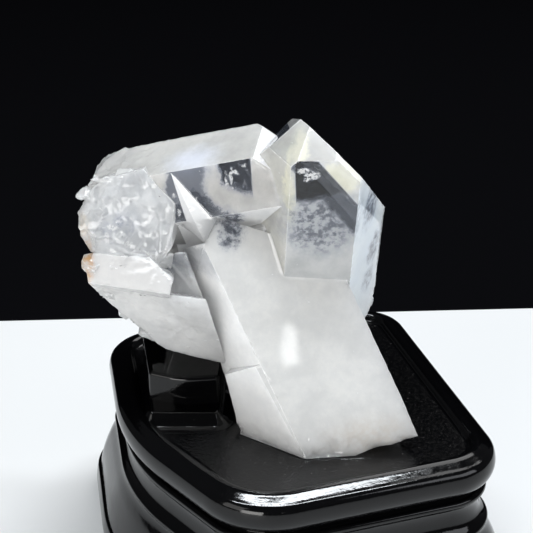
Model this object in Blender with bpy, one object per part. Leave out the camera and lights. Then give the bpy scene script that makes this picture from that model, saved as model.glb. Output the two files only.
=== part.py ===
"""A lemurian quartz cluster standing in a carved, black-lacquered wooden stand.

Two pieces. The crystals grew together, so the cluster is one stone. The stand
is carved from one block: a rounded bead round a shallow recess, a cove with
thin mouldings, a flared skirt, and a step inside that props the left mass.

Lengths are in millimetres and heights are above the table. A crystal face is
given by its heading (0 faces the front, 90 the right), its rise above level
and its distance from the crystal's own centre.
"""
import math
import random

import bmesh
import bpy
from mathutils import Matrix
from mathutils import Vector

MM = 0.001

# Heights of the stand above the table
FLOOR_Z = 49.0
BLOCK_TOP_Z = 61.0
LEDGE_TOP_Z = 52.5

# The stone keeps this gap to the wood that carries it
GAP = 0.3
SEAT_Z = FLOOR_Z + GAP
PROP_Z = BLOCK_TOP_Z + GAP

# Quartz: the six end faces meet the axis at this fixed slope
END_ALONG = 0.618
END_ACROSS = 0.786

# Plan of the lip as seen from above: x, y and corner radius
LIP_PLAN = (
    (-11.1, -50.0, 17.0),
    (51.8, -29.4, 10.5),
    (29.4, 50.0, 8.0),
    (-50.6, 33.6, 10.0),
    (-41.5, -14.4, 60.0),
)
ARC_STEPS = 10

# Moulding of the stand from the recess, over the bead and down to the table:
# distance outside the lip line and height
MOULDING = (
    (-3.0, 49.0),
    (-2.0, 49.2),
    (-1.4, 50.4),
    (-0.6, 51.0),
    (1.2, 51.1),
    (3.2, 50.0),
    (4.8, 48.2),
    (5.6, 45.5),
    (4.9, 42.8),
    (2.8, 40.8),
    (1.4, 40.2),
    (1.2, 39.2),
    (3.2, 38.8),
    (3.7, 37.9),
    (3.3, 37.0),
    (2.2, 36.2),
    (1.8, 33.5),
    (2.4, 30.5),
    (3.8, 28.6),
    (4.6, 28.1),
    (4.9, 27.3),
    (4.5, 26.4),
    (4.9, 24.8),
    (6.7, 21.3),
    (8.8, 16.1),
    (10.1, 11.4),
    (10.3, 10.9),
    (11.0, 10.4),
    (11.7, 6.1),
    (11.3, 3.5),
    (10.2, 1.4),
    (8.6, 0.4),
    (8.0, 0.0),
)

# Step inside the recess that props the left mass, and its lower ledge
BLOCK_PLAN = (
    (-39.4, -5.2, 1.5),
    (-31.0, -8.6, 18.0),
    (-19.6, -7.6, 1.5),
    (-19.6, 20.0, 1.5),
    (-43.6, 20.0, 3.0),
)
LEDGE_PLAN = (
    (-39.8, -13.2, 2.0),
    (-19.4, -13.2, 2.0),
    (-19.4, 2.0, 1.0),
    (-39.8, 2.0, 1.0),
)

# Rough stone that joins the crystals behind: centre and size
CORES = (
    ((-32.0, 6.0, 103.0), (36.0, 26.0, 28.0)),
    ((-29.0, 9.0, 87.0), (32.0, 30.0, 40.0)),
    ((-8.0, -2.0, 92.0), (30.0, 28.0, 36.0)),
    ((-46.0, 4.0, 106.0), (16.0, 22.0, 20.0)),
)

# Small lumps and ragged ends on the left mass and at the foot
LUMPS = (
    ((-54.8, -0.4, 112.6), (5.0, 7.0, 3.6)),
    ((-52.6, 0.8, 108.6), (6.0, 9.0, 7.0)),
    ((-48.2, 1.2, 116.2), (11.0, 6.0, 3.4)),
    ((-43.0, 0.8, 117.6), (9.0, 6.0, 3.2)),
    ((-53.0, -5.4, 101.4), (5.4, 9.0, 7.0)),
    ((-52.6, -8.4, 96.0), (6.4, 9.0, 8.0)),
    ((-35.0, -10.8, 98.0), (9.0, 6.0, 8.0)),
    ((-48.2, -7.6, 88.4), (9.0, 9.0, 7.0)),
    ((-43.6, -5.0, 81.4), (9.0, 9.0, 8.0)),
    ((-37.8, -3.6, 74.6), (11.0, 10.0, 8.0)),
    ((-27.0, -5.6, 71.4), (12.0, 9.0, 7.0)),
    ((-13.4, -16.8, 51.4), (4.0, 5.0, 3.8)),
)


def clear_scene():
    for obj in list(bpy.data.objects):
        bpy.data.objects.remove(obj, do_unlink=True)


def direction(heading, rise):
    """Unit vector for a heading and a rise in degrees."""
    h = math.radians(heading)
    r = math.radians(rise)
    return Vector((math.sin(h) * math.cos(r), -math.cos(h) * math.cos(r), math.sin(r)))


def faces_at(centre, rows):
    """Planes as (normal, distance along it from zero) from heading, rise, distance."""
    centre = Vector(centre)
    planes = []
    for heading, rise, distance in rows:
        normal = direction(heading, rise)
        planes.append((normal, normal.dot(centre) + distance))
    return planes


def quartz_point(centre, axis, front, flats, tips, foot):
    """Six-sided prism with a six-faced point; front is where the first flat looks."""
    centre = Vector(centre)
    a = direction(*axis)
    m0 = direction(*front)
    m0 = (m0 - m0.dot(a) * a).normalized()
    side = a.cross(m0)
    planes = []
    for k in range(6):
        t = math.radians(60 * k)
        m = math.cos(t) * m0 + math.sin(t) * side
        planes.append((m, m.dot(centre) + flats[k]))
        n = (END_ALONG * a + END_ACROSS * m).normalized()
        planes.append((n, n.dot(centre) + END_ALONG * tips[k]))
    planes.append((-a, foot - a.dot(centre)))
    return planes


def solid(centre, planes):
    """Convex solid inside all the planes, in millimetres."""
    bm = bmesh.new()
    bmesh.ops.create_cube(bm, size=260.0, matrix=Matrix.Translation(Vector(centre)))
    for normal, distance in planes:
        geom = bm.verts[:] + bm.edges[:] + bm.faces[:]
        cut = bmesh.ops.bisect_plane(
            bm, geom=geom, plane_co=normal * distance, plane_no=normal, clear_outer=True)
        rim = [item for item in cut["geom_cut"] if isinstance(item, bmesh.types.BMEdge)]
        if rim:
            bmesh.ops.contextual_create(bm, geom=rim)
    bmesh.ops.remove_doubles(bm, verts=bm.verts, dist=0.02)
    bmesh.ops.recalc_face_normals(bm, faces=bm.faces)
    return bm_object(bm)


def crumb(rng, centre, size, corners=18):
    """A small angular lump, the hull of seeded points on an ellipsoid."""
    bm = bmesh.new()
    for _ in range(corners):
        spot = Vector((rng.gauss(0, 1), rng.gauss(0, 1), rng.gauss(0, 1))).normalized()
        spot = spot * rng.uniform(0.86, 1.0)
        bm.verts.new(Vector(centre) + Vector(spot[i] * size[i] / 2 for i in range(3)))
    hull = bmesh.ops.convex_hull(bm, input=bm.verts)
    loose = [item for item in hull["geom_interior"] if isinstance(item, bmesh.types.BMVert)]
    bmesh.ops.delete(bm, geom=loose, context="VERTS")
    bmesh.ops.recalc_face_normals(bm, faces=bm.faces)
    return bm_object(bm)


def bm_object(bm):
    mesh = bpy.data.meshes.new("shape")
    bm.to_mesh(mesh)
    bm.free()
    obj = bpy.data.objects.new("shape", mesh)
    bpy.context.scene.collection.objects.link(obj)
    return obj


def combine(base, other):
    """Union of two closed shapes; the second one is used up."""
    mod = base.modifiers.new("combine", "BOOLEAN")
    mod.operation = "UNION"
    mod.solver = "EXACT"
    mod.object = other
    bpy.context.view_layer.update()
    depsgraph = bpy.context.evaluated_depsgraph_get()
    mesh = bpy.data.meshes.new_from_object(base.evaluated_get(depsgraph))
    base.modifiers.clear()
    base.data = mesh
    bpy.data.objects.remove(other, do_unlink=True)


def tidy(obj, angle):
    """Merge the coplanar pieces that the unions leave, then cut into triangles."""
    bm = bmesh.new()
    bm.from_mesh(obj.data)
    bmesh.ops.dissolve_limit(
        bm, angle_limit=math.radians(angle), verts=bm.verts, edges=bm.edges)
    bmesh.ops.triangulate(bm, faces=bm.faces)
    bm.to_mesh(obj.data)
    bm.free()


def rounded_ring(plan, offset):
    """Plan with rounded corners, moved outwards by offset; counter-clockwise."""
    points = []
    corners = [Vector(row[:2]) for row in plan]
    for i, row in enumerate(plan):
        before = (corners[i] - corners[i - 1]).normalized()
        after = (corners[(i + 1) % len(plan)] - corners[i]).normalized()
        n1 = Vector((before.y, -before.x))
        n2 = Vector((after.y, -after.x))
        turn = math.atan2(before.x * after.y - before.y * after.x, before.dot(after))
        spread = (n1 + n2) / (1 + n1.dot(n2))
        radius = max(row[2] + offset, 0.4)
        middle = corners[i] + spread * (offset - radius)
        start = math.atan2(n1.y, n1.x)
        for step in range(ARC_STEPS + 1):
            t = start + turn * step / ARC_STEPS
            points.append(middle + radius * Vector((math.cos(t), math.sin(t))))
    return points


def ringed(plan, profile):
    """Solid whose level rings follow (offset, height) from one end face to the other."""
    bm = bmesh.new()
    rings = []
    for offset, height in profile:
        ring = [bm.verts.new((p.x, p.y, height)) for p in rounded_ring(plan, offset)]
        rings.append(ring)
    count = len(rings[0])
    for upper, lower in zip(rings, rings[1:]):
        for i in range(count):
            j = (i + 1) % count
            bm.faces.new((upper[i], lower[i], lower[j], upper[j]))
    bm.faces.new(rings[0])
    bm.faces.new(list(reversed(rings[-1])))
    bmesh.ops.recalc_face_normals(bm, faces=bm.faces)
    return bm_object(bm)


def principled(name, colour, roughness, transmission=0.0, coat=0.0):
    mat = bpy.data.materials.new(name)
    mat.use_nodes = True
    shader = mat.node_tree.nodes["Principled BSDF"]
    shader.inputs["Base Color"].default_value = (*colour, 1.0)
    shader.inputs["Roughness"].default_value = roughness
    shader.inputs["Metallic"].default_value = 0.0
    shader.inputs["Transmission Weight"].default_value = transmission
    shader.inputs["Coat Weight"].default_value = coat
    mat.diffuse_color = (*colour, 1.0)
    return mat


def right_point():
    """Tall crystal on the right, its point upwards and its foot broken off aslant."""
    centre = (7.3, -2.1, 116.2)
    planes = quartz_point(
        centre, (9.5, 76.5), (3.3, 0.0),
        flats=(15.7, 14.6, 16.8, 15.1, 15.1, 16.1),
        tips=(37.7, 30.1, 12.1, 38.0, 27.4, 36.5), foot=61.0)
    planes += faces_at(centre, ((160.0, -50.0, 43.0), (-120.0, -38.0, 28.0)))
    return solid(centre, planes)


def left_point():
    """Crystal lying to the right, its point beside the tall one, its left end broken."""
    centre = (-4.7, -2.0, 118.8)
    planes = quartz_point(
        centre, (72.3, 16.3), (-20.5, 9.6),
        flats=(11.7, 11.8, 11.7, 11.7, 12.1, 11.4),
        tips=(57.0, 57.0, 57.0, 57.0, 13.5, 14.5), foot=56.0)
    planes += faces_at(centre, (
        (72.3, 16.3, 20.0),
        (-99.4, 60.0, 22.3),
        (-95.5, 39.0, 35.3),
        (-90.9, 22.3, 43.1),
        (-88.4, 5.2, 48.9),
    ))
    return solid(centre, planes)


def front_column():
    """Broad leaning crystal that stands in the recess and carries the others."""
    centre = (7.4, -29.7, SEAT_Z)
    return solid(centre, faces_at(centre, (
        (6.5, 20.5, 0.0),
        (132.9, 8.2, 22.9),
        (-47.1, -8.2, 3.0),
        (-158.4, -9.8, 25.7),
        (-173.5, -20.5, 22.0),
        (0.0, -90.0, 0.0),
        (-108.9, 20.1, 50.6),
        (-169.1, 35.9, 55.4),
        (153.4, 52.3, 51.6),
        (45.7, -68.7, 2.2),
        (9.7, 18.5, 0.7),
    )))


def shoulder():
    """Upper left side of the column, between it and the left mass."""
    centre = (7.4, -29.7, SEAT_Z)
    return solid(centre, faces_at(centre, (
        (6.5, 20.5, -0.2),
        (132.9, 8.2, 22.8),
        (-47.1, -8.2, 2.8),
        (-155.4, 10.1, 44.8),
        (-173.5, -20.5, 21.8),
        (102.9, 20.3, -4.4),
        (-162.3, 60.1, 60.0),
        (-91.4, -48.5, -3.9),
    )))


def toe():
    """Rough wedge at the foot of the column, on its left."""
    centre = (-13.7, -17.9, SEAT_Z)
    return solid(centre, faces_at(centre, (
        (-34.3, -2.6, 0.5),
        (-104.0, -13.7, 0.0),
        (0.0, -90.0, 0.0),
        (145.7, 2.6, 18.0),
        (6.5, 20.5, 13.1),
        (105.0, 21.6, 25.0),
        (-122.9, 59.5, 17.4),
    )))


def bright_wedge():
    """Three-cornered facet below the lying crystal and the ridge at its left."""
    centre = (-31.3, -4.5, 120.0)
    return solid(centre, faces_at(centre, (
        (-7.5, 23.1, 0.0),
        (-42.2, 0.4, 0.0),
        (157.4, -4.6, 0.0),
        (149.0, -30.1, 6.0),
        (172.5, -23.1, 13.0),
        (0.0, -90.0, 30.0),
    )))


def broken_mass():
    """Broken, fan-cracked mass at the upper left."""
    centre = (-42.2, -6.1, 108.9)
    return solid(centre, faces_at(centre, (
        (-14.0, 24.0, 0.0),
        (-131.2, 71.2, 10.6),
        (97.1, 44.6, 10.7),
        (78.5, 0.6, 11.7),
        (89.5, -34.1, 12.7),
        (-33.2, -80.4, 10.9),
        (-123.8, 39.2, 12.2),
        (-102.9, 22.4, 12.9),
        (-103.0, -11.7, 14.2),
        (-93.0, -38.4, 14.4),
        (166.0, -24.0, 21.0),
    )))


def side_crystal():
    """Small bright crystal below the broken mass."""
    centre = (-42.0, -14.6, 95.7)
    return solid(centre, faces_at(centre, (
        (-20.0, 30.0, 0.0),
        (-175.3, 81.3, 4.5),
        (109.3, 44.7, 6.9),
        (89.9, -9.7, 10.9),
        (-17.4, -47.4, 3.4),
        (-108.9, 19.2, 12.0),
        (-91.1, -12.7, 11.8),
        (160.0, -30.0, 14.0),
    )))


def joining_mass():
    """Stone between the side crystal and the column."""
    centre = (-29.0, -10.4, 89.2)
    return solid(centre, faces_at(centre, (
        (-24.0, -2.0, 0.0),
        (-154.9, 56.3, 9.2),
        (126.7, 11.8, 2.8),
        (-57.5, -70.1, 10.3),
        (-100.4, 4.6, 25.8),
        (177.1, 50.6, 8.3),
        (156.0, 2.0, 22.0),
    )))


def under_mass():
    """Undercut stone below the side crystal, which leans back to the prop."""
    centre = (-42.4, -13.5, 90.5)
    return solid(centre, faces_at(centre, (
        (-16.0, -22.0, 0.0),
        (-81.2, -42.1, 7.7),
        (-87.7, -35.5, 8.3),
        (-93.2, -57.3, 13.3),
        (-146.9, -79.9, 21.4),
        (165.3, 66.0, 0.4),
        (164.0, 22.0, 24.0),
        (122.5, 19.7, 13.2),
    )))


def heel():
    """Hidden lump at the back left, the stone's second rest, on the prop."""
    centre = (-28.0, 13.0, 70.0)
    return solid(centre, faces_at(centre, (
        (0.0, -90.0, centre[2] - PROP_Z),
        (-20.0, -52.0, 10.5),
        (-90.0, -20.0, 8.0),
        (90.0, -10.0, 12.0),
        (180.0, -40.0, 10.0),
        (180.0, 30.0, 12.0),
        (0.0, 60.0, 12.0),
        (-90.0, 40.0, 8.0),
        (90.0, 40.0, 12.0),
    )))


def build_cluster():
    rng = random.Random(17)
    stone = front_column()
    for shape in (
            toe, shoulder, right_point, left_point, bright_wedge, joining_mass,
            broken_mass, side_crystal, under_mass, heel):
        combine(stone, shape())
    for centre, size in CORES:
        combine(stone, crumb(rng, centre, size, corners=26))
    for centre, size in LUMPS:
        combine(stone, crumb(rng, centre, size))
    tidy(stone, 0.3)
    stone.data.transform(Matrix.Scale(MM, 4))
    return stone


def build_stand():
    stand = ringed(LIP_PLAN, MOULDING)
    block = ringed(BLOCK_PLAN, (
        (-1.3, BLOCK_TOP_Z),
        (-0.4, BLOCK_TOP_Z - 0.35),
        (0.0, BLOCK_TOP_Z - 1.3),
        (0.3, FLOOR_Z - 3.0),
    ))
    ledge = ringed(LEDGE_PLAN, (
        (-1.2, LEDGE_TOP_Z),
        (-0.3, LEDGE_TOP_Z - 0.4),
        (0.6, LEDGE_TOP_Z - 1.6),
        (4.0, FLOOR_Z - 0.3),
        (4.0, FLOOR_Z - 3.0),
    ))
    combine(stand, block)
    combine(stand, ledge)
    stand.data.transform(Matrix.Scale(MM, 4))
    return stand


def finish(obj, name, mat):
    obj.name = name
    obj.data.name = name
    obj.data.materials.clear()
    obj.data.materials.append(mat)


def centre_on_table(objects):
    """Put the middle of the box on the origin and the foot of the stand on the table."""
    corners = [obj.matrix_world @ v.co for obj in objects for v in obj.data.vertices]
    low = Vector(min(c[i] for c in corners) for i in range(3))
    high = Vector(max(c[i] for c in corners) for i in range(3))
    shift = Vector((-(low.x + high.x) / 2, -(low.y + high.y) / 2, -low.z))
    for obj in objects:
        obj.location = shift
    print("moved by", tuple(round(v / MM, 3) for v in shift), "mm")
    print("size", tuple(round(v / MM, 2) for v in high - low), "mm")


def main():
    clear_scene()
    quartz = principled("quartz", (0.84, 0.83, 0.81), 0.07, transmission=0.7)
    lacquer = principled("black_lacquer", (0.011, 0.010, 0.010), 0.16, coat=0.8)
    cluster = build_cluster()
    finish(cluster, "quartz_cluster", quartz)
    stand = build_stand()
    finish(stand, "stand", lacquer)
    stand.data.shade_smooth()
    stand.data.set_sharp_from_angle(angle=math.radians(35))
    centre_on_table([cluster, stand])


main()
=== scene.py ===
# %% [markdown]
# # A quartz cluster on its carved stand
# The object is a cluster of quartz points that grew together, partly clear and
# partly milky, standing in the recess of a black-lacquered wooden stand. The
# frame gives the solids at their real size. This file gives them their looks:
# a fine stone surface with clear windows, veils and a little iron stain, and a
# lacquer that is nearly black and shows every soft light as a crisp band.

import math
import random

import bmesh
import bpy
from mathutils import Matrix
from mathutils import Vector
from mathutils import noise


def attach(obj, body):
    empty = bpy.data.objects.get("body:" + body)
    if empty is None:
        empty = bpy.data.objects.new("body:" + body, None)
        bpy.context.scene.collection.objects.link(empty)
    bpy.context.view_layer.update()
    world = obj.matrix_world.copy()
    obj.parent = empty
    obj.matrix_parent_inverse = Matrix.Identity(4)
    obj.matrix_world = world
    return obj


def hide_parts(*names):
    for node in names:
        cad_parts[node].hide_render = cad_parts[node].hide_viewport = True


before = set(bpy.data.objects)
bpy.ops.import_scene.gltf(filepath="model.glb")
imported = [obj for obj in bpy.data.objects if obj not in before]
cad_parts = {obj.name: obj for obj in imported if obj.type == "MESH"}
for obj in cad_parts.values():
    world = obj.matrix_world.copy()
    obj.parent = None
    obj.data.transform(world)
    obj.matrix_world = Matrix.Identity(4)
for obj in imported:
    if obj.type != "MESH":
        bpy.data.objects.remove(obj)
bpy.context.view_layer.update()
MM = 0.001

# %% [markdown]
# The solids were drawn about a working point and then moved so that the middle
# of their box stands on the origin. Places below are in the same working
# millimetres, so one small helper turns them into the frame's metres.

# %% Working millimetres to metres
PLAN_SHIFT = Vector((-0.26, -0.68, 0.0))


def at(x, y, z):
    """A place in working millimetres as metres in the frame."""
    return (Vector((x, y, z)) + PLAN_SHIFT) * MM


print("working zero lies at", tuple(round(v, 5) for v in at(0, 0, 0)))

# %% [markdown]
# The camera looks slightly down on the stone's broad front, through a long
# lens, so that the upright edges stay almost parallel.

# %% Camera
CAMERA_AT = at(-6.7, -305.1, 239.9)
LOOKS_AT = at(-6.7, -0.9, 91.5)
FIELD_OF_VIEW = math.radians(24.0)

camera = bpy.data.objects.new("camera", bpy.data.cameras.new("camera"))
bpy.context.collection.objects.link(camera)
camera.data.sensor_width = 36.0
camera.data.lens = 18.0 / math.tan(FIELD_OF_VIEW / 2)
camera.data.clip_start = 0.01
camera.data.clip_end = 20.0
camera.location = CAMERA_AT
camera.rotation_mode = "QUATERNION"
camera.rotation_quaternion = (LOOKS_AT - CAMERA_AT).to_track_quat("-Z", "Y")
bpy.context.scene.camera = camera
print("lens", round(camera.data.lens, 2), "mm")

# %% [markdown]
# A clear stone shows what is behind it. On a pale table with a dark cloth
# behind, its clear windows turn dark and its milky parts stay bright, which is
# how such a stone is usually shown. The quartz shader also paints the windows a
# dark bluish colour, a painted shade that stands in for that dark view. The cloth
# lies flat and only rises far away, so it hides nothing when the object is seen
# from another side.

# %% Materials of table and cloth


def principled(name, colour, roughness):
    """A new material, with its tree, its shader and the shader's sockets set plainly."""
    mat = bpy.data.materials.new(name)
    mat.use_nodes = True
    shader = mat.node_tree.nodes["Principled BSDF"]
    shader.inputs["Base Color"].default_value = (*colour, 1.0)
    shader.inputs["Roughness"].default_value = roughness
    return mat, mat.node_tree, shader


table_mat, _, _ = principled("pale_table", (0.745, 0.75, 0.752), 0.6)
cloth_mat, _, cloth_shader = principled("dark_cloth", (0.0028, 0.0028, 0.0034), 1.0)
cloth_shader.inputs["Specular IOR Level"].default_value = 0.0
print("stage materials", table_mat.name, cloth_mat.name)

# %% Table and cloth
TABLE_EDGE_Y = 155.0
TABLE_TURN = math.radians(2.9)


def sheet_of_quads(name, rows, mat):
    """A band of quads through pairs of (left, right) points."""
    bm = bmesh.new()
    pairs = [[bm.verts.new(p) for p in row] for row in rows]
    for near, far in zip(pairs, pairs[1:]):
        bm.faces.new((near[0], near[1], far[1], far[0]))
    mesh = bpy.data.meshes.new(name)
    bm.to_mesh(mesh)
    bm.free()
    mesh.materials.append(mat)
    obj = bpy.data.objects.new(name, mesh)
    bpy.context.collection.objects.link(obj)
    return obj


def turned(x, y, z):
    """A place on the table, with the table's far edge a little askew to the camera."""
    return (Matrix.Rotation(TABLE_TURN, 3, "Z") @ Vector((x, y, z))) * MM


table = sheet_of_quads("table", [
    (turned(-2500, -2500, 0), turned(2500, -2500, 0)),
    (turned(-2500, TABLE_EDGE_Y, 0), turned(2500, TABLE_EDGE_Y, 0)),
], table_mat)
cloth = sheet_of_quads("cloth", [
    (turned(-2500, TABLE_EDGE_Y - 40, -0.4), turned(2500, TABLE_EDGE_Y - 40, -0.4)),
    (turned(-2500, TABLE_EDGE_Y, 0.2), turned(2500, TABLE_EDGE_Y, 0.2)),
    (turned(-2500, 2300, 0.2), turned(2500, 2300, 0.2)),
    (turned(-2500, 2500, 150), turned(2500, 2500, 150)),
    (turned(-2500, 2600, 3200), turned(2500, 2600, 3200)),
], cloth_mat)
print("stage", table.name, cloth.name)

# %% [markdown]
# The light is soft and comes from above. A long panel right over the object
# draws the band along the stand's bead. A second one behind it and to the right
# whitens the steep upper facets, and soft fills stand on both sides. A small window
# in front is mirrored once in the column's flat front: its place is worked out
# by reflecting the camera's line of sight in that face. The standard view keeps
# black lacquer black next to a nearly white table.

# %% Lights
MIDDLE = at(-6, -5, 90)


def panel(name, place, width, height, power, colour=(1.0, 1.0, 1.0), straight_down=False):
    """A soft rectangular light at a place in metres that looks at the object or down."""
    light = bpy.data.lights.new(name, "AREA")
    light.shape = "RECTANGLE"
    light.size = width
    light.size_y = height
    light.energy = power
    light.color = colour
    obj = bpy.data.objects.new(name, light)
    bpy.context.collection.objects.link(obj)
    obj.location = place
    if not straight_down:
        obj.rotation_mode = "QUATERNION"
        obj.rotation_quaternion = (MIDDLE - Vector(place)).to_track_quat("-Z", "Y")
    return obj


def mirrored_place(place, facing, distance):
    """Where a light must be for the camera to see it mirrored in a flat face."""
    spot = at(*place)
    to_eye = (CAMERA_AT - spot).normalized()
    normal = Vector(facing).normalized()
    return spot + distance * (2 * normal.dot(to_eye) * normal - to_eye)


COLUMN_FRONT = ((-2.7, -20.0, 78.0), (0.11, -0.93, 0.35))
panel("overhead_strip", (-0.03, -0.04, 1.05), 0.92, 0.085, 10.8, (0.91, 0.96, 1.0), True)
panel("back_panel", (0.34, 0.40, 0.88), 0.6, 0.5, 3.6)
panel("right_fill", (0.70, -0.40, 0.52), 0.5, 0.4, 1.8, (0.92, 0.95, 1.0))
panel("left_fill", (-0.80, -0.72, 0.55), 0.5, 0.8, 2.5, (1.0, 0.99, 0.97))
panel("low_front_fill", (-0.42, -1.00, 0.16), 0.5, 0.5, 6.2, (1.0, 0.99, 0.97))
panel("front_window", mirrored_place(*COLUMN_FRONT, 1.0), 0.015, 0.040, 0.014)

sky = bpy.data.worlds.new("soft_sky")
sky.use_nodes = True
sky.node_tree.nodes["Background"].inputs["Color"].default_value = (0.93, 0.96, 1.0, 1.0)
sky.node_tree.nodes["Background"].inputs["Strength"].default_value = 0.07
bpy.context.scene.world = sky
bpy.context.scene.view_settings.view_transform = "Standard"

# %% [markdown]
# Both finishes are small node networks on the object's own coordinates, turned
# into working millimetres, so that a pattern's size can be read off its numbers.
# A few helpers keep each material short enough to read in one go.

# %% Node helpers


def add(tree, kind, **settings):
    node = tree.nodes.new(kind)
    for name, value in settings.items():
        setattr(node, name, value)
    return node


def feed(tree, socket, value):
    """Give a socket another socket's output, or a plain value."""
    if isinstance(value, bpy.types.NodeSocket):
        tree.links.new(value, socket)
    elif isinstance(value, tuple) and len(socket.default_value) == 4:
        socket.default_value = (*value, 1.0)
    else:
        socket.default_value = value


def math_node(tree, operation, *values):
    node = add(tree, "ShaderNodeMath", operation=operation)
    for socket, value in zip(node.inputs, values):
        feed(tree, socket, value)
    return node.outputs[0]


def vector_node(tree, operation, *values):
    node = add(tree, "ShaderNodeVectorMath", operation=operation)
    for socket, value in zip(node.inputs, values):
        feed(tree, socket, value)
    return node.outputs["Value" if operation in ("LENGTH", "DOT_PRODUCT") else "Vector"]


def working_place(tree):
    """The shaded place in working millimetres."""
    coords = add(tree, "ShaderNodeTexCoord").outputs["Object"]
    return vector_node(tree, "MULTIPLY_ADD", coords, (1 / MM,) * 3, tuple(-PLAN_SHIFT))


def noise_of(tree, place, scale, detail=4.0, roughness=0.55, output="Fac"):
    """Noise whose features are about 1 / scale millimetres across."""
    node = add(tree, "ShaderNodeTexNoise")
    feed(tree, node.inputs["Vector"], place)
    node.inputs["Scale"].default_value = scale
    node.inputs["Detail"].default_value = detail
    node.inputs["Roughness"].default_value = roughness
    return node.outputs[output]


def stepped(tree, value, low, high, start=0.0, end=1.0):
    """Smooth step of a value from low to high, given out as start to end."""
    node = add(tree, "ShaderNodeMapRange", interpolation_type="SMOOTHSTEP")
    feed(tree, node.inputs["Value"], value)
    for name, number in (("From Min", low), ("From Max", high), ("To Min", start), ("To Max", end)):
        node.inputs[name].default_value = number
    return node.outputs["Result"]


def mixed(tree, factor, first, second):
    """Colour mix; first and second are sockets or colours."""
    node = add(tree, "ShaderNodeMix", data_type="RGBA")
    feed(tree, node.inputs[0], factor)
    feed(tree, node.inputs[6], first)
    feed(tree, node.inputs[7], second)
    return node.outputs[2]


def all_of(tree, values, operation="MINIMUM"):
    result = values[0]
    for value in values[1:]:
        result = math_node(tree, operation, result, value)
    return result


def bumped(tree, shader, height, depth):
    """Bump on a shader from a height of 0 to 1 that stands for a depth in millimetres."""
    bump = add(tree, "ShaderNodeBump")
    bump.inputs["Distance"].default_value = depth * MM
    feed(tree, bump.inputs["Height"], height)
    tree.links.new(bump.outputs["Normal"], shader.inputs["Normal"])


print("node helpers ready")

# %% [markdown]
# The stand is one carved moulding that follows the plan of the lip. That is a
# rule, so Geometry Nodes make it: the plan's corners are rounded by a Fillet
# Curve, and a profile is swept round them by Curve to Mesh. The profile runs
# from the recess over the bead, past two thin mouldings and down the skirt.

# %% Plan and profile of the stand
LIP_PLAN = (
    (-11.1, -50.0, 17.0),
    (51.8, -29.4, 10.5),
    (29.4, 50.0, 8.0),
    (-50.6, 33.6, 10.0),
    (-41.5, -14.4, 60.0),
)
FLOOR_Z = 49.0
MOULDING = (
    (-3.0, 49.0),
    (-2.0, 49.2),
    (-1.4, 50.3),
    (-0.6, 51.0),
    (0.3, 51.2),
    (1.1, 51.0),
    (1.8, 50.63),
    (2.6, 50.21),
    (3.4, 49.79),
    (4.2, 49.37),
    (5.1, 48.2),
    (5.6, 45.5),
    (4.9, 42.8),
    (2.8, 40.8),
    (1.4, 40.2),
    (1.2, 39.2),
    (3.2, 38.8),
    (3.7, 37.9),
    (3.3, 37.0),
    (2.2, 36.2),
    (1.8, 33.5),
    (2.4, 30.5),
    (3.8, 28.6),
    (4.6, 28.1),
    (4.9, 27.3),
    (4.5, 26.4),
    (4.9, 24.8),
    (6.7, 21.3),
    (8.8, 16.1),
    (10.1, 11.4),
    (10.3, 10.9),
    (11.0, 10.4),
    (11.7, 6.1),
    (11.3, 3.5),
    (10.2, 1.4),
    (8.6, 0.4),
    (8.0, 0.0),
)
print("plan corners", len(LIP_PLAN), "profile points", len(MOULDING))

# %% Curves for the sweep


def poly_curve(name, points, closed, radii=None):
    """A curve object with one straight-sided spline through points in millimetres."""
    data = bpy.data.curves.new(name, "CURVE")
    data.dimensions = "3D"
    spline = data.splines.new("POLY")
    spline.points.add(len(points) - 1)
    for i, p in enumerate(points):
        spline.points[i].co = (p[0], p[1], 0.0, 1.0)
        spline.points[i].radius = radii[i] if radii else 1.0
    spline.use_cyclic_u = closed
    obj = bpy.data.objects.new(name, data)
    bpy.context.collection.objects.link(obj)
    return obj


def remove(obj):
    bpy.data.objects.remove(obj, do_unlink=True)


print("curve helper ready")

# %% The sweep as a node tree


def input_socket(tree, name, kind, default=None):
    item = tree.interface.new_socket(name=name, in_out="INPUT", socket_type=kind)
    if default is not None:
        item.default_value = default
    return item


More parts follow.
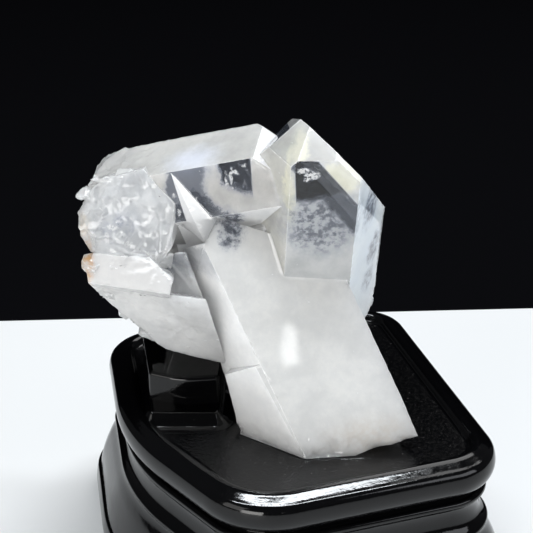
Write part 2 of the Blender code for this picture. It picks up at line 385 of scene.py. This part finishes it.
def sweep_tree():
    """Plan curve in, swept moulding out; corner radii ride on the curve's radius."""
    tree = bpy.data.node_groups.new("moulded_sweep", "GeometryNodeTree")
    input_socket(tree, "Plan", "NodeSocketGeometry")
    input_socket(tree, "Profile", "NodeSocketObject")
    input_socket(tree, "Corner steps", "NodeSocketInt", 18)
    input_socket(tree, "Profile points", "NodeSocketInt", 150)
    input_socket(tree, "Material", "NodeSocketMaterial")
    tree.interface.new_socket(name="Mesh", in_out="OUTPUT", socket_type="NodeSocketGeometry")
    nodes, links = tree.nodes, tree.links
    given = nodes.new("NodeGroupInput")
    result = nodes.new("NodeGroupOutput")
    radius = nodes.new("GeometryNodeInputRadius")
    fillet = nodes.new("GeometryNodeFilletCurve")
    fillet.mode = "POLY"
    even = nodes.new("GeometryNodeSetCurveRadius")
    even.inputs["Radius"].default_value = 1.0
    upright = nodes.new("GeometryNodeSetCurveNormal")
    upright.mode = "Z_UP"
    profile = nodes.new("GeometryNodeObjectInfo")
    smooth = nodes.new("GeometryNodeCurveSplineType")
    smooth.spline_type = "CATMULL_ROM"
    finer = nodes.new("GeometryNodeResampleCurve")
    finer.mode = "COUNT"
    sweep = nodes.new("GeometryNodeCurveToMesh")
    real = nodes.new("GeometryNodeRealizeInstances")
    finish = nodes.new("GeometryNodeSetMaterial")
    links.new(given.outputs["Plan"], fillet.inputs["Curve"])
    links.new(given.outputs["Corner steps"], fillet.inputs["Count"])
    links.new(radius.outputs["Radius"], fillet.inputs["Radius"])
    links.new(fillet.outputs["Curve"], even.inputs["Curve"])
    links.new(even.outputs["Curve"], upright.inputs["Curve"])
    links.new(upright.outputs["Curve"], sweep.inputs["Curve"])
    links.new(given.outputs["Profile"], profile.inputs["Object"])
    links.new(profile.outputs["Geometry"], smooth.inputs["Curve"])
    links.new(smooth.outputs["Curve"], finer.inputs["Curve"])
    links.new(given.outputs["Profile points"], finer.inputs["Count"])
    links.new(finer.outputs["Curve"], sweep.inputs["Profile Curve"])
    links.new(sweep.outputs["Mesh"], real.inputs["Geometry"])
    links.new(real.outputs["Geometry"], finish.inputs["Geometry"])
    links.new(given.outputs["Material"], finish.inputs["Material"])
    links.new(finish.outputs["Geometry"], result.inputs["Mesh"])
    return tree


SWEEP = sweep_tree()
print("tree", SWEEP.name, "with", len(SWEEP.nodes), "nodes")

# %% [markdown]
# The lacquer is black, thick and glossy, and was brushed on: it has an orange
# peel a few millimetres wide. In the recess it was left as it dripped, so the
# floor is duller and lumpy, with specks of dust under it.

# %% Black lacquer
FLOOR_BAND = (FLOOR_Z - 0.6, FLOOR_Z - 0.2, FLOOR_Z + 0.2, FLOOR_Z + 0.6)
PEEL = 0.022
DRIPS = 0.10
GRIT = 0.007


def lacquer_material():
    mat, tree, shader = principled("black_lacquer", (0.004, 0.004, 0.005), 0.1)
    place = working_place(tree)
    height = add(tree, "ShaderNodeSeparateXYZ")
    feed(tree, height.inputs[0], place)
    upward = add(tree, "ShaderNodeSeparateXYZ")
    feed(tree, upward.inputs[0], add(tree, "ShaderNodeNewGeometry").outputs["True Normal"])
    floor = all_of(tree, [
        stepped(tree, height.outputs["Z"], FLOOR_BAND[0], FLOOR_BAND[1]),
        stepped(tree, height.outputs["Z"], FLOOR_BAND[2], FLOOR_BAND[3], 1.0, 0.0),
        stepped(tree, upward.outputs["Z"], 0.97, 0.995),
    ])
    peel = noise_of(tree, place, 0.42, 2.0, 0.4)
    drips = noise_of(tree, place, 0.9, 5.0, 0.6)
    dust = stepped(tree, noise_of(tree, place, 1.7, 2.0, 0.5), 0.70, 0.76)
    dusty = math_node(tree, "MULTIPLY", dust, stepped(tree, floor, 0.0, 1.0, 0.10, 0.8))
    feed(tree, shader.inputs["Base Color"], mixed(tree, dusty, (0.0014, 0.0014, 0.0017), (0.10, 0.095, 0.09)))
    gloss = stepped(tree, peel, 0.3, 0.7, 0.05, 0.12)
    dull = stepped(tree, drips, 0.35, 0.65, 0.14, 0.24)
    feed(tree, shader.inputs["Roughness"],
         math_node(tree, "MULTIPLY_ADD", floor, math_node(tree, "SUBTRACT", dull, gloss), gloss))
    rise = math_node(tree, "MULTIPLY_ADD", math_node(tree, "MULTIPLY", drips, floor), DRIPS / PEEL, peel)
    grit = noise_of(tree, place, 2.4, 1.0, 0.4)
    rise = math_node(tree, "MULTIPLY_ADD", grit, GRIT / PEEL, rise)
    bumped(tree, shader, rise, PEEL)
    shader.inputs["Specular IOR Level"].default_value = 0.36
    return mat


lacquer_mat = lacquer_material()
print("lacquer nodes", len(lacquer_mat.node_tree.nodes))

# %% Sweep a moulding and close its two ends


def set_input(mod, tree, name, value):
    for item in tree.interface.items_tree:
        if item.item_type == "SOCKET" and item.in_out == "INPUT" and item.name == name:
            mod[item.identifier] = value


def swept(name, plan, moulding, mat, corner_steps, profile_points):
    """Closed mesh object of a moulding swept round a plan, placed in the frame."""
    path = poly_curve(name + "_plan", [p[:2] for p in plan], True, [p[2] for p in plan])
    section = poly_curve(name + "_profile", [(out, -up) for out, up in moulding], False)
    mod = path.modifiers.new("sweep", "NODES")
    mod.node_group = SWEEP
    set_input(mod, SWEEP, "Profile", section)
    set_input(mod, SWEEP, "Corner steps", corner_steps)
    set_input(mod, SWEEP, "Profile points", profile_points)
    set_input(mod, SWEEP, "Material", mat)
    bpy.context.view_layer.update()
    depsgraph = bpy.context.evaluated_depsgraph_get()
    mesh = bpy.data.meshes.new_from_object(path.evaluated_get(depsgraph))
    bm = bmesh.new()
    bm.from_mesh(mesh)
    bmesh.ops.holes_fill(bm, edges=[e for e in bm.edges if e.is_boundary], sides=0)
    bmesh.ops.transform(bm, matrix=Matrix.Translation(PLAN_SHIFT), verts=bm.verts)
    bmesh.ops.scale(bm, vec=(MM, MM, MM), verts=bm.verts)
    bmesh.ops.recalc_face_normals(bm, faces=bm.faces)
    for face in bm.faces:
        face.smooth = True
    bm.to_mesh(mesh)
    bm.free()
    mesh.name = name
    obj = bpy.data.objects.new(name, mesh)
    bpy.context.collection.objects.link(obj)
    remove(path)
    remove(section)
    return obj


stand = swept("carved_stand", LIP_PLAN, MOULDING, lacquer_mat, 18, 160)
print("moulding faces", len(stand.data.polygons))

# %% [markdown]
# Inside the recess the carver left a step that props the stone's left mass, and
# a lower ledge in front of it. They come from the same sweep with their own
# plans. Their profiles end in a small hollow fillet at the floor, and a union
# makes them one piece of wood with the rest.

# %% The prop's step and ledge
BLOCK_TOP_Z = 61.0
LEDGE_TOP_Z = 52.5
BLOCK_PLAN = (
    (-39.4, -5.2, 1.5),
    (-31.0, -8.6, 18.0),
    (-19.6, -7.6, 1.5),
    (-19.6, 20.0, 1.5),
    (-43.6, 20.0, 3.0),
)
BLOCK_PROFILE = (
    (-1.3, BLOCK_TOP_Z),
    (-0.8, BLOCK_TOP_Z - 0.08),
    (-0.25, BLOCK_TOP_Z - 0.5),
    (0.0, BLOCK_TOP_Z - 1.3),
    (0.2, FLOOR_Z + 4.0),
    (0.3, FLOOR_Z + 1.6),
    (0.7, FLOOR_Z + 0.6),
    (1.6, FLOOR_Z + 0.1),
    (2.4, FLOOR_Z - 0.4),
    (2.4, FLOOR_Z - 3.0),
)
LEDGE_PLAN = (
    (-39.8, -13.2, 2.0),
    (-19.4, -13.2, 2.0),
    (-19.4, 2.0, 1.0),
    (-39.8, 2.0, 1.0),
)
LEDGE_PROFILE = (
    (-1.2, LEDGE_TOP_Z),
    (-0.6, LEDGE_TOP_Z - 0.12),
    (-0.1, LEDGE_TOP_Z - 0.6),
    (0.6, LEDGE_TOP_Z - 1.6),
    (2.0, FLOOR_Z + 0.7),
    (3.4, FLOOR_Z + 0.15),
    (4.6, FLOOR_Z - 0.3),
    (4.6, FLOOR_Z - 3.0),
)


def united(base, other):
    """Boolean union of two closed pieces; the second is used up."""
    mod = base.modifiers.new("union", "BOOLEAN")
    mod.operation = "UNION"
    mod.solver = "EXACT"
    mod.object = other
    bpy.context.view_layer.update()
    depsgraph = bpy.context.evaluated_depsgraph_get()
    mesh = bpy.data.meshes.new_from_object(base.evaluated_get(depsgraph))
    base.modifiers.clear()
    base.data = mesh
    remove(other)


united(stand, swept("step", BLOCK_PLAN, BLOCK_PROFILE, lacquer_mat, 8, 40))
united(stand, swept("ledge", LEDGE_PLAN, LEDGE_PROFILE, lacquer_mat, 8, 40))
stand.data.set_sharp_from_angle(angle=math.radians(50))
print("stand box", [[round(c[i] / MM, 1) for i in range(3)] for c in
      (stand.bound_box[0], stand.bound_box[6])], "faces", len(stand.data.polygons))
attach(stand, "root")
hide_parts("stand")

# %% [markdown]
# A natural stone has flat growth faces and rough broken ones. The frame's solid
# already has every facet in its place, so the fine surface starts from a copy
# of it. Long edges are halved until the mesh can carry relief, and more finely
# where the stone is rough, which leaves the flat faces exactly flat.

# %% Rough zones
ROUGH_ZONES = (
    ((-44.0, -5.0, 108.0), (15.0, 12.0, 13.0), 0.55),
    ((-52.0, 2.0, 104.0), (8.0, 14.0, 20.0), 0.8),
    ((-56.0, -1.0, 112.6), (4.0, 6.0, 4.0), 1.4),
    ((-38.0, -8.0, 82.0), (18.0, 14.0, 14.0), 0.3),
    ((-30.0, -10.0, 96.0), (6.0, 8.0, 8.0), 0.45),
    ((-46.0, 8.0, 118.0), (14.0, 12.0, 8.0), 0.35),
    ((5.0, -24.0, 49.0), (40.0, 20.0, 6.0), 0.4),
    ((-10.0, 22.0, 85.0), (60.0, 16.0, 50.0), 0.55),
)
FACE_RELIEF = 0.003


def rough_amplitude(p):
    """Relief in millimetres at a place in working millimetres."""
    most = FACE_RELIEF
    for centre, radii, amplitude in ROUGH_ZONES:
        reach = math.sqrt(sum(((p[i] - centre[i]) / radii[i]) ** 2 for i in range(3)))
        most = max(most, amplitude * min(max((1.15 - reach) / 0.35, 0.0), 1.0))
    return most


print("rough zones", len(ROUGH_ZONES))

# %% A fine copy of the solid
LONGEST_EDGE = 1.7 * MM
LONGEST_ROUGH_EDGE = 0.95 * MM
ROUGH_FROM = 0.1


def merged_copy(node, name):
    """A copy of a node's mesh with its loose triangles merged."""
    bm = bmesh.new()
    bm.from_mesh(bpy.data.objects[node].data)
    bmesh.ops.remove_doubles(bm, verts=bm.verts, dist=0.000002)
    mesh = bpy.data.meshes.new(name)
    bm.to_mesh(mesh)
    bm.free()
    obj = bpy.data.objects.new(name, mesh)
    bpy.context.collection.objects.link(obj)
    return obj


def too_long(edge):
    length = edge.calc_length()
    if length <= LONGEST_ROUGH_EDGE:
        return False
    if length > LONGEST_EDGE:
        return True
    middle = (edge.verts[0].co + edge.verts[1].co) / 2
    return rough_amplitude(middle / MM - PLAN_SHIFT) > ROUGH_FROM


def halve_long_edges(mesh):
    bm = bmesh.new()
    bm.from_mesh(mesh)
    for _ in range(12):
        long_edges = [e for e in bm.edges if too_long(e)]
        if not long_edges:
            break
        bmesh.ops.subdivide_edges(bm, edges=long_edges, cuts=1)
        bmesh.ops.triangulate(bm, faces=[f for f in bm.faces if len(f.verts) > 3])
    bm.to_mesh(mesh)
    bm.free()


stone = merged_copy("quartz_cluster", "quartz_stone")
halve_long_edges(stone.data)
print("stone triangles", len(stone.data.polygons))

# %% [markdown]
# Each growth face has its own look: one is chalky where fluid was trapped in its
# last layers, the next is as clear as glass. A short table names the faces by a
# place on them and the way they face, and gives each a body colour and how clear
# it is. The body colours are partly painted light: faces that lie in shade, such
# as the column's left side, the cavity, the bright triangle and the left point's
# underside, are painted near white, faces in strong light such as the left
# point's top are painted darker, and the bluish right side of the right point is
# a painted reflection of the sky. Every triangle on that plane gets the values as
# mesh attributes, so the looks change crisply from face to face, as they do on
# the stone.

# %% Looks of the growth faces, partly painted light
PLAIN_LOOK = ((0.78, 0.78, 0.775), 0.35)
# Body colours here are partly painted light and shade, not only the stone's own tone.
FACE_LOOKS = {
    "column front": ((4.6, -19.7, 76.7), (0.11, -0.93, 0.35), (0.81, 0.81, 0.8), 0.16),
    "right point front": ((6.9, -17.2, 112.1), (0.05, -0.97, -0.23), (0.75, 0.76, 0.76), 0.35),
    "broken mass front": ((-42.9, -6.1, 108.6), (-0.22, -0.89, 0.41), (0.72, 0.73, 0.745), 0.4),
    "left point front": ((-17.9, -9.8, 118.3), (-0.35, -0.92, 0.17), (0.76, 0.745, 0.725), 0.4),
    "undercut": ((-31.9, -12.3, 80.7), (-0.26, -0.89, -0.37), (0.86, 0.855, 0.85), 0.3),
    "left point top": ((-27.6, 1.8, 123.6), (-0.36, -0.25, 0.90), (0.58, 0.575, 0.56), 0.25),
    "toe": ((-8.9, -22.4, 59.2), (-0.56, -0.83, -0.05), (0.94, 0.94, 0.935), 0.12),
    "column left": ((-18.5, -13.6, 84.1), (-0.73, -0.67, -0.14), (0.98, 0.98, 0.975), 0.06),
    "right point right": ((19.7, -4.5, 98.8), (0.89, -0.44, -0.14), (0.86, 0.93, 1.0), 0.08),
    "bright wedge": ((-42.4, -14.3, 96.1), (-0.30, -0.81, 0.50), (0.63, 0.62, 0.615), 0.1),
    "right point left": ((-3.8, -14.9, 116.0), (-0.84, -0.54, -0.09), (0.7, 0.69, 0.65), 0.35),
    "right tip left": ((-0.7, -17.4, 133.1), (-0.64, -0.56, 0.53), (0.62, 0.62, 0.59), 0.4),
    "side crystal": ((-28.5, -10.8, 93.3), (-0.41, -0.91, -0.03), (0.9, 0.905, 0.92), 0.25),
    "right tip front": ((5.4, -20.4, 132.6), (0.06, -0.91, 0.42), (0.62, 0.62, 0.61), 0.15),
    "bright triangle": ((-24.6, -9.2, 111.1), (-0.12, -0.91, 0.39), (0.9, 0.9, 0.9), 0.0),
    "left point under": ((-12.1, -9.9, 110.1), (0.01, -0.68, -0.74), (0.9, 0.9, 0.9), 0.2),
    "triangle side": ((-27.0, -8.6, 109.7), (-0.67, -0.74, 0.01), (0.84, 0.84, 0.85), 0.1),
    "cavity side": ((-28.0, -2.4, 102.1), (0.55, -0.73, -0.41), (0.98, 0.98, 0.98), 0.0),
    "cavity back": ((-26.7, 0.3, 98.8), (0.29, -0.93, 0.22), (0.98, 0.98, 0.98), 0.0),
    "left tip": ((-7.6, -5.7, 128.4), (0.29, -0.37, 0.88), (0.76, 0.76, 0.77), 0.0),
    "right tip rim": ((13.4, -19.7, 127.5), (0.72, -0.48, 0.49), (0.97, 0.92, 0.90), 0.0),
}
FACE_NUMBER = {name: number for number, name in enumerate(FACE_LOOKS, start=1)}
SAME_PLANE = 0.45 * MM
SAME_FACING = 0.998


def colour_faces(mesh):
    """Write each face's colour, which carries painted light, its clearness and its number into mesh
    attributes.
    """
    planes = [(at(*place), Vector(facing).normalized(), colour, amount)
              for place, facing, colour, amount in FACE_LOOKS.values()]
    counts = [0] * len(planes)
    tones_and_painted_light = []
    clears = []
    numbers = []
    for polygon in mesh.polygons:
        colour, amount = PLAIN_LOOK
        number = 0
        for i, (place, facing, *look) in enumerate(planes):
            off_plane = abs((polygon.center - place).dot(facing))
            if off_plane < SAME_PLANE and polygon.normal.dot(facing) > SAME_FACING:
                colour, amount = look
                counts[i] += 1
                number = i + 1
                break
        tones_and_painted_light.extend((*colour, 1.0) * polygon.loop_total)
        clears.extend([amount] * polygon.loop_total)
        numbers.extend([float(number)] * polygon.loop_total)
    mesh.attributes.new("face_tone_and_painted_light", "FLOAT_COLOR", "CORNER").data.foreach_set("color", tones_and_painted_light)
    mesh.attributes.new("face_clear", "FLOAT", "CORNER").data.foreach_set("value", clears)
    mesh.attributes.new("face_number", "FLOAT", "CORNER").data.foreach_set("value", numbers)
    return counts


for name, count in zip(FACE_LOOKS, colour_faces(stone.data)):
    print(f"{name}: {count} triangles")

# %% [markdown]
# Handling chips the sharp edges of a crystal, and every chip catches the light
# as a fine white line. The points on sharp edges are marked and pressed in a
# little by noise. The shader paints the outer edges near white: partly frosted
# chips, partly a painted highlight along each edge.

# %% Worn edges with a painted highlight
SHARP_FROM = math.radians(24)
WEAR_DEPTH = 0.16


def mark_sharp_points(mesh):
    """1 on points of sharp edges, 0 elsewhere; the shader blends between."""
    bm = bmesh.new()
    bm.from_mesh(mesh)
    marks = [0.0] * len(bm.verts)
    for edge in bm.edges:
        if len(edge.link_faces) == 2 and edge.calc_face_angle_signed(0.0) > SHARP_FROM:
            for vert in edge.verts:
                marks[vert.index] = 1.0
    bm.free()
    mesh.attributes.new("edge_wear_and_highlight", "FLOAT", "POINT").data.foreach_set("value", marks)
    return marks


edge_marks = mark_sharp_points(stone.data)
print("points on sharp edges", int(sum(edge_marks)))

# %% [markdown]
# Relief goes where the real stone is rough. On the left mass the cracks fan out
# from one point where it was struck, like the ribs of a shell, so their height
# depends on the angle about that point. Growth faces stay almost flat.

# %% Relief
FAN_CENTRE = Vector((-34.3, -12.6, 99.1))
FAN_REACH = 15.0
FAN_RIBS = 11.0
FAN_HEIGHT = 0.45
CHIP_SIZE = 4.0
FOOT_BITE = 1.1
FOOT_BITE_REACH = 4.5


def fan(p):
    """Height of the crack fan, 0 to 1, at a place in working millimetres."""
    away = p - FAN_CENTRE
    distance = away.length
    if distance > FAN_REACH or away.y < -8.0:
        return 0.0
    angle = math.atan2(away.z, away.x)
    rib = noise.noise(Vector((angle * FAN_RIBS / 2, distance / 9.0, 2.0)))
    fade = (1.0 - distance / FAN_REACH) * min(distance / 2.0, 1.0)
    return max(rib, 0.0) * 2.0 * fade


def chip(p):
    """Height of a small flat facet that is tilted its own way, like broken quartz."""
    _, centres = noise.voronoi(p / CHIP_SIZE)
    tilt = Vector([noise.noise(centres[0] * 7.3 + Vector((step, 0, 0))) for step in (0, 31, 57)])
    return (p / CHIP_SIZE - centres[0]).dot(tilt)


def relief(p):
    """Mixed broad, faceted and fine relief, from about -1 to 1, at a place in millimetres."""
    return 0.5 * noise.noise(p / 5.5) + 1.9 * chip(p) + 0.15 * noise.noise(p / 1.1)


def bite(p):
    """How deep the broken edge of the foot is bitten in, 0 to 1, round the foot."""
    return min(max(noise.noise(Vector((p.x / 5.0, p.y / 5.0, 7.0))) * 2.0 + 0.35, 0.0), 1.0)


def roughen(obj):
    """Move the points of the rough zones along their normals, and wear the edges."""
    mesh = obj.data
    fans = mesh.attributes.new("crack_fan", "FLOAT", "POINT")
    places = [v.co / MM - PLAN_SHIFT for v in mesh.vertices]
    normals = [v.normal.copy() for v in mesh.vertices]
    for v, p, n, worn_and_highlit in zip(mesh.vertices, places, normals, edge_marks):
        rib = fan(p)
        fans.data[v.index].value = rib
        if p.z < FLOOR_Z + 0.35:
            continue
        height = rough_amplitude(p) * (relief(p) - 0.15) + FAN_HEIGHT * rib
        height -= FOOT_BITE * max(1.0 - (p.z - FLOOR_Z) / FOOT_BITE_REACH, 0.0) * bite(p)
        height -= worn_and_highlit * WEAR_DEPTH * max(0.3 + noise.noise(p / 1.6), 0.0)
        v.co += n * (height * MM)
    mesh.update()


roughen(stone)
for polygon in stone.data.polygons:
    polygon.use_smooth = True
stone.data.set_sharp_from_angle(angle=SHARP_FROM)
print("stone roughened", len(stone.data.vertices), "points")

# %% [markdown]
# Quartz is clear where it grew slowly and milky where fluid was caught in it.
# One shader does both. Where the stone is milky, light scatters just below the
# skin. Where it is clear, transmission is full and the surface is polished. The
# clear windows are parts of a face, each bounded by straight edges that lean
# back into the stone along the line of sight, so light passes right through.

# %% Windows, patches and stains, with painted shade
SIGHT_SLOPE = 0.3
CRISP = 1.0
CLEAR_WINDOWS = (
    ("right point front", True, 1.0, (
        ((0.5, -19.5, 121.0), (1.0, 0.05), 0.5),
        ((8.3, -20.6, 126.7), (-0.757, -0.653), 0.5),
        ((7.0, -18.6, 118.2), (-0.10, 1.0), 4.5),
    )),
    ("right point front", True, 0.85, (
        ((9.6, -18.0, 115.0), (0.75, 0.66), 3.0),
        ((8.3, -20.6, 126.7), (-0.757, -0.653), 0.5),
        ((14.0, -15.6, 107.5), (0.0, 1.0), 4.0),
    )),
    ("left point front", False, 1.0, (
        ((-18.4, -8.8, 121.0), (0.94, 0.34), 2.4),
        ((-10.5, -11.8, 122.6), (-1.0, -0.06), 0.6),
        ((-14.0, -11.2, 118.3), (0.25, 0.97), 3.6),
    )),
    ("left point front", False, 0.7, (
        ((-22.5, -8.0, 119.0), (-1.0, 0.12), 3.0),
        ((-24.0, -8.4, 112.0), (0.0, 1.0), 3.0),
        ((-33.0, -8.4, 112.0), (1.0, 0.0), 2.0),
    )),
    # The next three windows are painted shade: along the bright triangle's edge, on the column's left side
    # and on the side crystal.
    ("left point front", False, 0.9, (
        ((-23.2, -8.2, 116.0), (-0.652, -0.757), 2.6),
        ((-27.0, -7.0, 116.0), (0.757, -0.652), 3.5),
    )),
    ("column left", False, 0.35, (
        ((-24.5, -9.0, 95.0), (0.25, 1.0), 6.0),
        ((-24.5, -9.0, 101.5), (-0.1, -1.0), 1.5),
    )),
    ("side crystal", False, 0.6, (
        ((-24.5, -9.0, 93.0), (0.25, 1.0), 7.0),
        ((-24.5, -9.0, 101.5), (-0.1, -1.0), 1.5),
    )),
)
# Dim streaky patches: the shader makes them partly clear and gives them the windows' painted dark colour.
DIM_PATCHES = (
    ((-15.8, -11.4, 107.6), (3.6, 6.0, 5.2), 0.4, 0.9),
    ((9.0, -16.6, 109.2), (6.5, 6.0, 3.4), 0.6, 0.65),
    ((7.0, -17.0, 112.0), (9.0, 8.0, 10.0), 0.5, 0.72),
    ((20.0, -8.0, 113.5), (3.0, 5.0, 7.0), 0.5, 0.65),
    ((21.8, 1.0, 96.5), (2.0, 5.0, 4.5), 0.5, 0.7),
    ((20.5, 2.0, 86.5), (2.5, 4.0, 4.0), 0.5, 0.5),
    ((-1.0, -13.0, 109.0), (5.0, 6.0, 3.5), 0.5, 0.25),
    ((-44.0, -6.0, 107.0), (4.0, 5.0, 3.0), 0.7, 0.4),
    ((-48.0, -7.0, 104.5), (3.0, 4.0, 2.5), 0.7, 0.3),
)
FLECKS = (
    ((-15.6, -10.4, 121.6), (0.5, 3.0, 2.0)),
    ((-14.6, -10.8, 122.6), (1.0, 3.0, 0.5)),
    ((-16.8, -9.8, 119.6), (0.4, 3.0, 1.2)),
    ((-12.2, -11.2, 124.6), (0.5, 3.0, 0.35)),
    ((4.6, -20.7, 125.7), (1.7, 3.0, 1.2)),
    ((2.4, -21.1, 127.3), (1.5, 3.0, 0.7)),
    ((3.0, -20.6, 124.6), (0.8, 3.0, 0.6)),
    ((-47.0, -6.8, 105.5), (1.6, 3.0, 0.5)),
    ((-44.5, -7.2, 103.8), (1.2, 3.0, 0.5)),
    ((-48.5, -6.6, 102.8), (0.7, 3.0, 1.2)),
    ((-42.5, -8.6, 102.2), (1.4, 3.0, 0.4)),
)
COLOUR_PATCHES = (
    ((11.5, -19.5, 124.5), (4.8, 6.0, 4.8), 0.35, (0.97, 0.93, 0.72)),
    ((-0.8, -19.0, 122.0), (1.3, 3.0, 9.5), 0.5, (0.92, 0.90, 0.72)),
    ((1.6, -20.0, 132.0), (1.6, 4.0, 5.5), 0.5, (0.86, 0.84, 0.70)),
    ((-26.0, -3.0, 122.8), (7.5, 5.0, 3.0), 0.8, (0.76, 0.79, 0.88)),
)
STAIN_ZONES = (
    ((22.0, -26.0, 52.0), (12.0, 6.0, 6.0), 0.7, 0.40, (0.74, 0.62, 0.50)),
    ((-55.0, -9.0, 96.5), (2.8, 8.0, 8.0), 0.4, 1.0, (0.66, 0.34, 0.14)),
    ((-55.6, -5.0, 105.5), (2.0, 6.0, 3.5), 0.6, 0.55, (0.80, 0.64, 0.42)),
)


def half_space(tree, place, point, lean, soft):
    """1 on the side of an edge that lean points to, 0 on the other; lean is (x, z)."""
    direction = Vector((lean[0], SIGHT_SLOPE * lean[1], lean[1]))
    reach = vector_node(tree, "DOT_PRODUCT", place, tuple(direction))
    start = direction.dot(Vector(point))
    return stepped(tree, reach, start - soft / 2, start + soft / 2)


def blob(tree, place, centre, radii, soft):
    """1 inside an ellipsoid in working millimetres, falling to 0 over its soft edge."""
    away = vector_node(tree, "DIVIDE", vector_node(tree, "SUBTRACT", place, centre), radii)
    return stepped(tree, vector_node(tree, "LENGTH", away), 1.0 - soft, 1.0 + soft, 1.0, 0.0)


print("windows", len(CLEAR_WINDOWS), "patches", len(DIM_PATCHES), "stains", len(STAIN_ZONES))

# %% Quartz
# Painted shade: the clear windows and dim patches take this dark bluish colour in place of the dark cloth
# seen through.
WINDOW_PAINTED_DARK = (0.32, 0.36, 0.46)
FLECK = (0.95, 0.95, 0.96)
# Near white of frosted chips and of the painted highlight on sharp edges.
FROST_AND_HIGHLIGHT = (0.97, 0.965, 0.97)
FACE_BUMP = 0.001


def named_value(tree, name):
    node = add(tree, "ShaderNodeAttribute", attribute_name=name)
    return node.outputs["Fac"]


def on_face(tree, face, through):
    """1 on a named face, and on the unnamed faces behind it where light passes through."""
    number = named_value(tree, "face_number")
    here = math_node(tree, "COMPARE", number, float(FACE_NUMBER[face]), 0.5)
    if not through:
        return here
    return math_node(tree, "MAXIMUM", here, math_node(tree, "COMPARE", number, 0.0, 0.5))


def quartz_material():
    mat, tree, shader = principled("quartz", (0.8, 0.8, 0.8), 0.1)
    place = working_place(tree)
    # The face tones carry painted light: lighter on faces in shade, darker on faces in strong light.
    tone_and_painted_light = add(tree, "ShaderNodeAttribute", attribute_name="face_tone_and_painted_light").outputs["Color"]
    clouds = noise_of(tree, place, 0.075, 6.0, 0.62)
    mottle = noise_of(tree, place, 0.5, 5.0, 0.65)
    grain = noise_of(tree, place, 1.6, 4.0, 0.6)
    veil = noise_of(tree, place, 0.22, 6.0, 0.65, "Color")
    wisp = noise_of(tree, place, 0.8, 5.0, 0.7, "Color")
    drift = vector_node(tree, "MULTIPLY_ADD", veil, (5.0,) * 3, (-2.5,) * 3)
    wisps = vector_node(tree, "MULTIPLY_ADD", wisp, (2.6,) * 3, (-1.3,) * 3)
    wispy = vector_node(tree, "ADD", place, wisps)
    warped = vector_node(tree, "ADD", wispy, drift)

    windows = []
    for face, through, strength, edges in CLEAR_WINDOWS:
        inside = all_of(tree, [half_space(tree, place if soft < CRISP else warped, point, lean, soft)
                               for point, lean, soft in edges])
        windows.append(all_of(tree, [inside, on_face(tree, face, through), strength], "MULTIPLY"))
    for centre, radii, soft, strength in DIM_PATCHES:
        streaky = math_node(tree, "MULTIPLY", blob(tree, warped, centre, radii, soft),
                            stepped(tree, mottle, 0.38, 0.60, 0.35, 1.0))
        windows.append(math_node(tree, "MULTIPLY", streaky, strength))
    window = all_of(tree, windows, "MAXIMUM")
    broken = stepped(tree, grain, 0.42, 0.49)
    flecks = [math_node(tree, "MULTIPLY", blob(tree, wispy, centre, radii, 0.4), broken)
              for centre, radii in FLECKS]
    fleck = all_of(tree, flecks + [stepped(tree, mottle, 0.68, 0.73)], "MAXIMUM")
    flecked = math_node(tree, "SUBTRACT", 1.0, fleck)
    clear = math_node(tree, "MULTIPLY", window, flecked)

    milk = mixed(tree, stepped(tree, clouds, 0.35, 0.65), (0.92, 0.92, 0.92), (1.0, 0.995, 0.985))
    milk = mixed(tree, stepped(tree, mottle, 0.35, 0.65, 0.0, 0.4), milk, (0.86, 0.865, 0.88))
    body = add(tree, "ShaderNodeMix", data_type="RGBA", blend_type="MULTIPLY")
    body.inputs[0].default_value = 1.0
    feed(tree, body.inputs[6], tone_and_painted_light)
    feed(tree, body.inputs[7], milk)
    colour = body.outputs[2]
    for centre, radii, soft, hue in COLOUR_PATCHES:
        amount = math_node(tree, "MULTIPLY", blob(tree, warped, centre, radii, soft), 0.85)
        colour = mixed(tree, amount, colour, hue)
    # Painted shade: clear windows and dim patches get the dark bluish colour.
    colour = mixed(tree, clear, colour, WINDOW_PAINTED_DARK)
    colour = mixed(tree, math_node(tree, "MULTIPLY", fleck, 0.8), colour, FLECK)
    for centre, radii, soft, strength, rust in STAIN_ZONES:
        amount = math_node(tree, "MULTIPLY", blob(tree, warped, centre, radii, soft),
                           stepped(tree, mottle, 0.34, 0.64, 0.3 * strength, strength))
        colour = mixed(tree, amount, colour, rust)
    # Near white on sharp edges: frosted chips and a painted highlight.
    worn_and_highlit = math_node(tree, "ADD", named_value(tree, "edge_wear_and_highlight"),
                     math_node(tree, "MULTIPLY_ADD", mottle, 0.9, -0.45))
    worn_and_highlit = stepped(tree, worn_and_highlit, 0.78, 1.02)
    ribs = stepped(tree, named_value(tree, "crack_fan"), 0.05, 0.6, 0.0, 0.5)
    frost_and_highlight = math_node(tree, "MAXIMUM", math_node(tree, "MULTIPLY", worn_and_highlit, 0.5), ribs)
    feed(tree, shader.inputs["Base Color"], mixed(tree, frost_and_highlight, colour, FROST_AND_HIGHLIGHT))

    see_through = math_node(tree, "MULTIPLY", named_value(tree, "face_clear"),
                            stepped(tree, clouds, 0.35, 0.65, 1.15, 0.8))
    solid = math_node(tree, "SUBTRACT", 1.0, frost_and_highlight)
    passing = math_node(tree, "MULTIPLY", math_node(tree, "MAXIMUM", see_through, clear), solid)
    feed(tree, shader.inputs["Transmission Weight"], passing)
    shine = stepped(tree, grain, 0.3, 0.7, 0.02, 0.06)
    rough = math_node(tree, "MULTIPLY_ADD", clear, -0.015, shine)
    feed(tree, shader.inputs["Roughness"], math_node(tree, "MULTIPLY_ADD", frost_and_highlight, 0.25, rough))
    bumped(tree, shader, mottle, FACE_BUMP)
    shader.inputs["IOR"].default_value = 1.55
    shader.inputs["Subsurface Weight"].default_value = 0.8
    shader.inputs["Subsurface Radius"].default_value = (1.0, 1.0, 1.0)
    shader.inputs["Subsurface Scale"].default_value = 0.018
    return mat


stone.data.materials.append(quartz_material())
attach(stone, "root")
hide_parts("quartz_cluster")
print("stone material", stone.data.materials[0].name)
